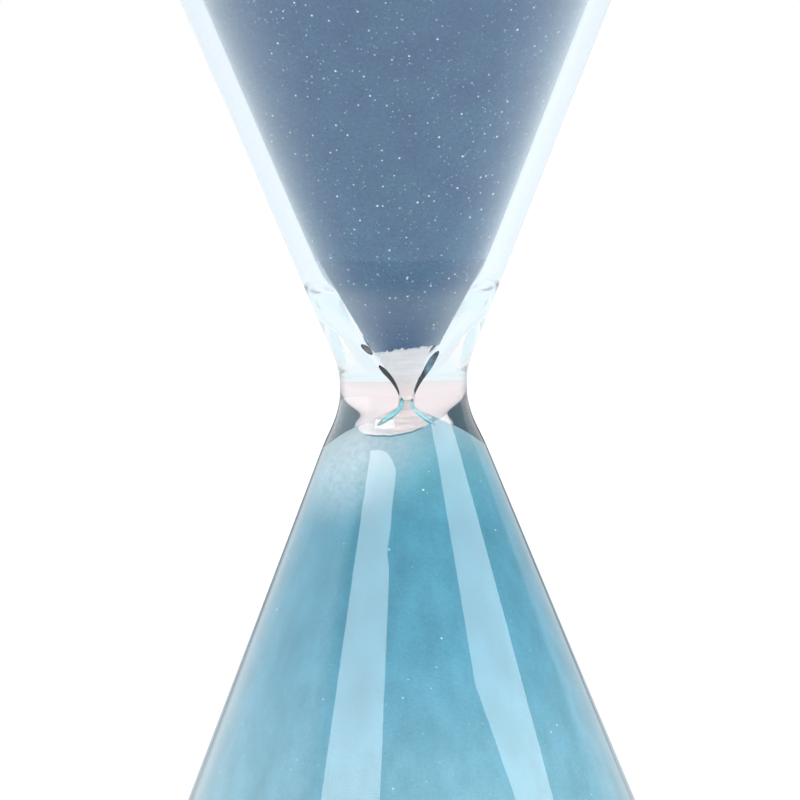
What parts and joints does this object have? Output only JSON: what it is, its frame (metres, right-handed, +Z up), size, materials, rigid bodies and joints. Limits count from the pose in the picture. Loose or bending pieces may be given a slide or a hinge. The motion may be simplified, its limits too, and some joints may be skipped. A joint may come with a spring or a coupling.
{
  "type": "hourglass",
  "caption": "Frameless hourglass: two thick clear glass cones on a solid glass neck, closed by flat glass discs, with blue sand in both bulbs.",
  "frame": {"origin": "centre of the foot, on the surface that the hourglass stands on", "axes": "+Z up along the axis of both cones; X and Y are level and interchangeable"},
  "size_m": [0.0858, 0.0858, 0.1784],
  "materials": {
    "body_glass": "polished",
    "disc_glass": "polished",
    "clear_bond": "gloss",
    "slate_sand": "matte",
    "teal_sand": "matte"
  },
  "bodies": {
    "root": {"upper_cone": "body_glass", "neck_block": "body_glass", "lower_cone": "body_glass", "upper_end_disc": "disc_glass", "lower_end_disc": "disc_glass", "filling_plug": "disc_glass", "upper_rim_bond": "clear_bond", "lower_rim_bond": "clear_bond", "filling_plug_bond": "clear_bond", "upper_sand": "slate_sand", "lower_sand": "teal_sand"}
  },
  "joints": []
}
